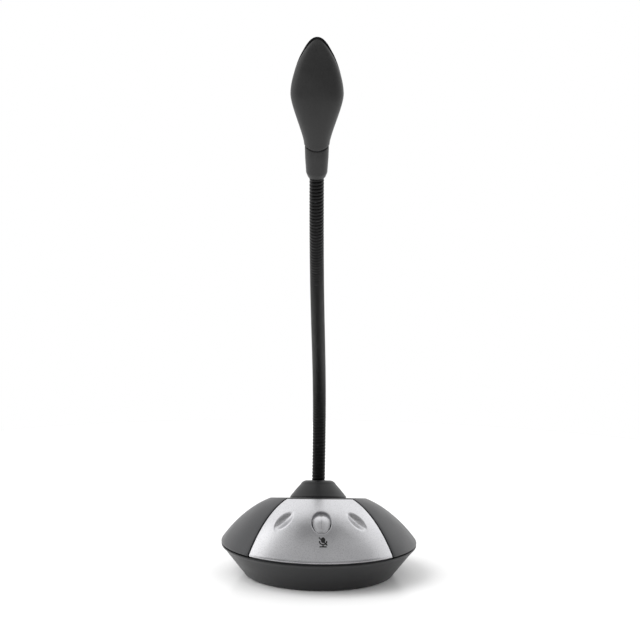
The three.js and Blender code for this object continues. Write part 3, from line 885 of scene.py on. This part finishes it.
def leaning(degrees, length):
    a = math.radians(degrees)
    return Vector((-math.sin(a) * length, math.cos(a) * length))


# The neck's middle line in its own upright plane, as (forward, height) points with their distances.
def neckTable():
    start, middle, end = (Vector(neck[key]) for key in ("start", "middle", "end"))
    a, b, c = neck["leans"]
    h = neck["handles"]
    lower = (start, start + leaning(a, h[0]), middle - leaning(b, h[1]), middle)
    upper = (middle, middle + leaning(b, h[2]), end - leaning(c, h[3]), end)
    steps = spread(0, 1, neck["curveSteps"])
    line = [Vector(bezier(*lower, t)) for t in steps] + [Vector(bezier(*upper, t)) for t in steps[1:]]
    distances = [0.0]
    for before, after in zip(line, line[1:]):
        distances.append(distances[-1] + (after - before).length)
    return line, distances


neckLine, neckDistances = neckTable()
neckLength = neckDistances[-1]
pieceLength = neckLength / neck["pieces"]
neckTurn = Matrix.Translation((base["topShift"], 0, 0)) @ turnZ(-neck["yaw"])


def neckAt(distance):
    if distance <= 0:
        return neckLine[0] + leaning(neck["leans"][0], distance)
    if distance >= neckLength:
        return neckLine[-1] + leaning(neck["leans"][2], distance - neckLength)
    low, high = 0, len(neckDistances) - 1
    while high - low > 1:
        half = (low + high) // 2
        if neckDistances[half] <= distance:
            low = half
        else:
            high = half
    share = (distance - neckDistances[low]) / (neckDistances[high] - neckDistances[low])
    return neckLine[low].lerp(neckLine[high], share)


# One ring of the wound tube: a rounded wire that climbs one pitch in each turn.
def neckRing(distance):
    run = (neckAt(distance + 0.4) - neckAt(distance - 0.4)).normalized()
    y, z = neckAt(distance)
    side = Vector((1, 0, 0))
    back = Vector((0, run.y, -run.x))
    ring = []
    for i in range(neck["sides"]):
        angle = 2 * math.pi * i / neck["sides"]
        turn = (distance / neck["ribPitch"] - i / neck["sides"]) % 1
        off = abs(2 * turn - 1)
        bulge = math.sqrt(max(1 - off ** neck["ribPower"], 0))
        radius = neck["radius"] - neck["ribDepth"] * (1 - bulge)
        point = Vector((0, y, z)) + side * radius * math.cos(angle) + back * radius * math.sin(angle)
        ring.append(neckTurn @ point)
    return ring


def makeNeckPiece(number, start, end):
    steps = max(4, round((end - start) / neck["ribPitch"] * neck["samplesPerRib"]))
    points, faces = skinRings([neckRing(d) for d in spread(start, end, steps)], capped=True)
    return makePiece(f"wound_neck_{number:02d}", points, faces, "neckCoating", sharp=80)


def makeNeck():
    count = neck["pieces"]
    bodies = ["base"] + [f"neck_part_{i}" for i in range(2, count)] + ["head"]
    for k in range(count + 1):
        start = -neck["foot"] if k == 0 else (k - 0.5) * pieceLength
        end = neckLength + neck["top"] if k == count else (k + 0.5) * pieceLength
        piece = makeNeckPiece(k, start, end)
        if k in (0, count):
            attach(piece, bodies[0] if k == 0 else bodies[-1])
        else:
            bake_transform(piece)
        if k < count:
            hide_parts(f"neck_{k + 1:02d}")


makeNeck()
print("neck made, length in mm:", round(neckLength, 1))

# Head

head = {
    "lean": 19.7,
    "seam": 14.4,
    "length": 50.1,
    "sides": [
        [(5.5, 0), (5.7, 6.5), (11.3, 18), (11.5, 24.4)],
        [(11.5, 24.4), (11.5, 31), (8.6, 39.2), (7.1, 42.1)],
        [(7.1, 42.1), (4.9, 46.4), (2.9, 50.1), (0, 50.1)],
    ],
    "thin": 5.4,
    "swell": 1.6,
    "wall": 1.4,
    "split": 0.2,
    "splitGap": 0.03,
    "edgeRound": 0.3,
    "frontShrink": 0.8,  # the front half ends this much short of the back half's tip
    "seamDip": 0.9,  # the seam hangs this much lower in front than at its sides
    "seamRise": 0.85,  # where it sits this much above its height in the frame
    "seamFade": 9,
    "columns": 56,
    "rowsPerSide": 22,
    "slots": (23.4, 26.2, 29.0, 31.8, 34.6),
    "slotHalf": (4.5, 0.6),
    "slotReach": (1.0, 14.0),
}
headFrame = neckTurn @ Matrix.Translation((0, *neck["end"])) @ turnX(head["lean"])


def headRows():
    rows = []
    for i, curve in enumerate(head["sides"]):
        ts = spread(0, 1, head["rowsPerSide"])
        rows += [bezier(*curve, t) for t in (ts if i == 0 else ts[1:])]
    return rows[:-1]


def headThickness(height):
    share = height / head["length"]
    swell = head["thin"] + head["swell"] * math.sin(math.pi * min(share / 0.9, 1))
    return swell * math.sqrt(max(1 - share**5, 0))


# How far the seam hangs at a point around it, fading out over a few millimetres either side.
def seamDip(x, y, away):
    ahead = max(0, -y) / (math.hypot(x, y) + 0.01)
    fade = max(0, 1 - away / head["seamFade"]) ** 2
    return (head["seamDip"] * ahead**2 - head["seamRise"]) * fade


# Half of the head as a closed shell: outer skin, rounded edges, inner skin.
def makeHeadShell(name, front, finish):
    rows = headRows()
    bottom = [(rows[0][0], 0.0), (rows[0][0], 0.12), (rows[0][0] + 0.02, 0.35)]
    rows = bottom + [row for row in rows if row[1] > 0.5]
    start = math.asin(head["split"] + (0 if front else head["splitGap"]))
    if front:
        first, last = start, -math.pi - start
    else:
        first, last = start, math.pi - start
    turns = spread(first, last, head["columns"])
    nudge = (turns[1] - turns[0]) * 0.25
    turns = [turns[0], turns[0] + nudge] + turns[1:-1] + [turns[-1] - nudge, turns[-1]]
    edge = head["edgeRound"]
    outer, inner = [], []
    for r, (width, height) in enumerate(rows):
        thick = headThickness(height)
        lift = -head["frontShrink"] * (height / head["length"]) ** 4 if front else 0
        outerRow, innerRow = [], []
        for c, angle in enumerate(turns):
            onSide = c in (0, len(turns) - 1)
            sink = edge if onSide else 0
            if r == 0:
                sink = max(sink, edge)
            elif r == 1:
                sink = max(sink, edge * 0.3)
            sink = min(sink, 0.35 * thick)
            a, b = width + lift - sink, thick + lift - sink
            x, y = a * math.cos(angle), b * math.sin(angle)
            outerRow.append((x, y, height + lift + head["seam"] - seamDip(x, y, height)))
            a, b = (max(value - head["wall"], value * 0.3) for value in (width, thick))
            low = min(height, head["length"] - head["wall"] - 0.3 * (head["length"] - height))
            x, y = a * math.cos(angle), b * math.sin(angle)
            innerRow.append((x, y, low + head["seam"] - seamDip(x, y, low)))
        outer.append(outerRow)
        inner.append(innerRow)
    points = [p for row in outer + inner for p in row]
    total, wide = len(rows), len(turns)
    faces = []
    for layer in (0, total * wide):
        for r in range(total - 1):
            for c in range(wide - 1):
                a = layer + r * wide + c
                quad = (a, a + 1, a + wide + 1, a + wide)
                faces.append(quad if layer == 0 else quad[::-1])
    shift = total * wide
    for r in range(total - 1):
        for c in (0, wide - 1):
            a, b = r * wide + c, (r + 1) * wide + c
            faces.append((a, b, b + shift, a + shift))
    for c in range(wide - 1):
        faces.append((c, c + 1, c + 1 + shift, c + shift))
    tip = len(points)
    top = head["length"] + head["seam"]
    points += [(0, 0, top - (head["frontShrink"] if front else 0)), (0, 0, top - head["wall"])]
    for layer, pole in ((0, tip), (shift, tip + 1)):
        for c in range(wide - 1):
            a = layer + (total - 1) * wide + c
            faces.append((a, a + 1, pole))
    for c in (0, wide - 1):
        a = (total - 1) * wide + c
        faces.append((a, a + shift, tip + 1, tip))
    return makePiece(name, points, faces, finish, headFrame, 40)


def slotTool(height):
    halfWidth, halfHeight = head["slotHalf"]
    outline = []
    for side in (1, -1):
        for angle in spread(-math.pi / 2, math.pi / 2, 8):
            outline.append((side * (halfWidth - halfHeight + halfHeight * math.cos(angle)),
                            side * halfHeight * math.sin(angle)))
    rings = [[(x, y, z + height + head["seam"]) for x, z in outline] for y in head["slotReach"]]
    points, faces = skinRings(rings, capped=True)
    return makePiece("slot_tool", points, faces, "glossBlack", headFrame)


def makeHead():
    frontShell = makeHeadShell("head_front_smooth", True, "headSatin")
    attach(frontShell, "head")
    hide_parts("head_front_shell")
    backShell = makeHeadShell("head_back_smooth", False, "glossBlack")
    for height in head["slots"]:
        carve(backShell, slotTool(height), "DIFFERENCE", 40)
    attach(backShell, "head")
    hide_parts("head_back_shell")


sleeve = {
    "outline": [
        (3.55, 0.0), (3.85, 0.15), (4.65, 2.2), (5.1, 9.0), (5.25, 13.75), (4.25, 13.75), (4.25, 9.0),
        (4.25, 3.0), (3.55, 2.6),
    ],
    "edgeRound": 0.35,
    "seamShade": [(4.15, 13.6), (4.7, 13.6), (4.7, 14.36), (4.15, 14.36)],  # black ring in the seam gap: painted shade that makes the seam line read black
}


def makeSleeve():
    outline = roundCorners(sleeve["outline"], sleeve["edgeRound"])
    points, faces = skinRings([circle(r, z, 72) for r, z in outline], closed=True)
    points = [(x, y, z - seamDip(x, y, head["seam"] - z)) for x, y, z in points]
    piece = makePiece("head_sleeve_smooth", points, faces, "headSatin", headFrame)
    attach(piece, "head")
    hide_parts("head_sleeve")
    # A gloss black ring sits in the seam gap as painted shade, so the seam reads as a black line; it
    # also hides the brass ferrule behind.
    points, faces = skinRings([circle(r, z, 72) for r, z in sleeve["seamShade"]], closed=True)
    points = [(x, y, z - seamDip(x, y, head["seam"] - z)) for x, y, z in points]
    seamShade = makePiece("head_seam_shade_ring", points, faces, "glossBlack", headFrame)
    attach(seamShade, "head")


makeHead()
makeSleeve()
print("head made")

# Finishes of the frame's own nodes

nodeFinish = {
    "ballast_plate": "castIron",
    "circuit_board": "boardGreen",
    "switch_housing": "zincSteel",
    "switch_slider": "glossBlack",
    "board_connector": "tinConnector",
    "neck_lower_ferrule": "brass",
    "neck_washer": "zincSteel",
    "neck_nut": "brass",
    "neck_upper_ferrule": "brass",
    "base_lead": "leadSheath",
    "acoustic_cloth": "acousticCloth",
    "capsule_boot": "softRubber",
    "microphone_capsule": "capsuleCan",
}
for name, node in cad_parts.items():
    finish = nodeFinish.get(name, "charcoalPlastic")
    if name.startswith("lead_"):
        finish = "leadSheath"
    if "screw" in name:
        finish = "zincSteel"
    node.data.materials.clear()
    node.data.materials.append(materials[finish])
print("nodes dressed")

# Studio

studio = {
    "floorRadius": 0.42,
    "floorColour": (0.92, 0.92, 0.92),
    "floorRoughness": (0.16, 0.161),
    "floorIOR": 1.12,
    "skyForCamera": 1.0,
    "skyForDiffuse": 0.95,
    # what shiny surfaces see: a bright rear, and in front a dark horizon, a lit band and a dark top
    "rearSky": 1.08,
    "frontHorizon": 0.03,
    "frontBand": 0.44,
    "frontHigh": 0.085,
    # where one turns into the next, along Y and up Z of the direction
    "rearStep": (-0.30, 0.06),
    "bandStep": (0.35, 0.50),
    "highStep": (0.70, 0.85),
    "aim": (0, -0.02, 0.06),
    "sun": {"from": (-0.85, -0.35, 1.0), "strength": 1.65, "angle": 50},
    "lights": [
        # name, position in metres, width, height, watts, colour
        ("softLeft", (-0.95, -0.05, 0.50), 0.50, 0.80, 0.75, (1.0, 0.99, 0.98)),
        ("softRight", (0.75, 0.55, 0.35), 0.30, 0.70, 0.35, (0.98, 0.99, 1.0)),
    ],
}


def makeFloor():
    radius = studio["floorRadius"] / mm
    points, faces = skinRings([circle(radius, 0.0, 64), circle(radius, -2.0, 64)], capped=True)
    mesh = bpy.data.meshes.new("floor")
    mesh.from_pydata([Vector(p) * mm for p in points], [], faces)
    floor = bpy.data.objects.new("floor", mesh)
    bpy.context.scene.collection.objects.link(floor)
    tidyMesh(mesh, 35)
    material = bpy.data.materials.new("paleFloor")
    material.use_nodes = True
    tree = material.node_tree
    shader = tree.nodes["Principled BSDF"]
    shader.inputs["IOR"].default_value = studio["floorIOR"]
    coords = tree.nodes.new("ShaderNodeTexCoord")
    grain = addNoise(tree, coords.outputs["Object"], 40, 2, (-900, 0))
    pale = studio["floorColour"]
    paler = tuple(channel + 0.01 for channel in pale)
    tint = addRamp(tree, grain.outputs["Fac"], 0.3, 0.7, pale, paler, (-600, 100))
    tree.links.new(tint.outputs["Color"], shader.inputs["Base Color"])
    rough = addRange(tree, grain.outputs["Fac"], *studio["floorRoughness"], (-600, -150))
    tree.links.new(rough.outputs["Result"], shader.inputs["Roughness"])
    mesh.materials.append(material)


# A scale for one direction of the sky: 0 below low, 1 above high.
def addStep(tree, source, low, high, at):
    step = tree.nodes.new("ShaderNodeMapRange")
    step.interpolation_type = "SMOOTHSTEP"
    step.inputs["From Min"].default_value = low
    step.inputs["From Max"].default_value = high
    step.location = at
    tree.links.new(source, step.inputs["Value"])
    return step.outputs["Result"]


def addBlend(tree, factor, first, second, at):
    mix = tree.nodes.new("ShaderNodeMix")
    mix.location = at
    tree.links.new(factor, mix.inputs["Factor"])
    for socket, value in (("A", first), ("B", second)):
        if isinstance(value, float):
            mix.inputs[socket].default_value = value
        else:
            tree.links.new(value, mix.inputs[socket])
    return mix.outputs["Result"]


def makeWorld():
    world = bpy.data.worlds.new("studio")
    world.use_nodes = True
    tree = world.node_tree
    coords = tree.nodes.new("ShaderNodeTexCoord")
    coords.location = (-1200, 0)
    split = tree.nodes.new("ShaderNodeSeparateXYZ")
    split.location = (-1000, 0)
    tree.links.new(coords.outputs["Generated"], split.inputs["Vector"])
    rear = addStep(tree, split.outputs["Y"], *studio["rearStep"], (-800, 100))
    low = addStep(tree, split.outputs["Z"], *studio["bandStep"], (-800, -400))
    high = addStep(tree, split.outputs["Z"], *studio["highStep"], (-800, -200))
    band = addBlend(tree, low, studio["frontHorizon"], studio["frontBand"], (-750, -300))
    front = addBlend(tree, high, band, studio["frontHigh"], (-550, -150))
    shiny = addBlend(tree, rear, front, studio["rearSky"], (-350, 0))
    rays = tree.nodes.new("ShaderNodeLightPath")
    rays.location = (-550, 400)
    soft = addBlend(tree, rays.outputs["Is Diffuse Ray"], shiny, studio["skyForDiffuse"], (-150, 100))
    strength = addBlend(tree, rays.outputs["Is Camera Ray"], soft, studio["skyForCamera"], (50, 200))
    sky = tree.nodes["Background"]
    sky.inputs["Color"].default_value = (1, 1, 1, 1)
    tree.links.new(strength, sky.inputs["Strength"])
    bpy.context.scene.world = world


# The sun lights the floor evenly and casts the shadow; the soft boxes only show in the object.
def makeLights():
    target = Vector(studio["aim"])
    sun = bpy.data.lights.new("sun", "SUN")
    sun.energy = studio["sun"]["strength"]
    sun.angle = math.radians(studio["sun"]["angle"])
    sunLamp = bpy.data.objects.new("sun", sun)
    sunLamp.location = studio["sun"]["from"]
    sunLamp.rotation_euler = (-Vector(studio["sun"]["from"])).to_track_quat("-Z", "Y").to_euler()
    sunLamp.visible_glossy = False
    bpy.context.scene.collection.objects.link(sunLamp)
    for name, place, width, height, watts, colour in studio["lights"]:
        data = bpy.data.lights.new(name, "AREA")
        data.shape = "RECTANGLE"
        data.size = width
        data.size_y = height
        data.energy = watts
        data.color = colour
        light = bpy.data.objects.new(name, data)
        light.location = place
        light.rotation_euler = (target - Vector(place)).to_track_quat("-Z", "Y").to_euler()
        light.visible_diffuse = False
        bpy.context.scene.collection.objects.link(light)


camera = {
    "distance": 1122.4,
    "height": 279.7,
    "yaw": 1.7,
    "look": 1.53,
    "pitch": 7.79,
    "roll": 0.84,
    "lens": 131.06,
    "sensor": 36,
}


def makeCamera():
    data = bpy.data.cameras.new("camera")
    data.lens = camera["lens"]
    data.sensor_width = camera["sensor"]
    data.clip_start = 0.05
    data.clip_end = 20
    eye = bpy.data.objects.new("camera", data)
    yaw = math.radians(camera["yaw"])
    far = camera["distance"] * mm
    eye.location = (-math.sin(yaw) * far, -math.cos(yaw) * far, camera["height"] * mm)
    turns = (90 - camera["pitch"], -camera["roll"], -camera["look"])
    eye.rotation_euler = tuple(math.radians(turn) for turn in turns)
    bpy.context.scene.collection.objects.link(eye)
    bpy.context.scene.camera = eye


makeFloor()
makeWorld()
makeLights()
makeCamera()
bpy.context.scene.view_settings.view_transform = "Standard"
print("studio made")
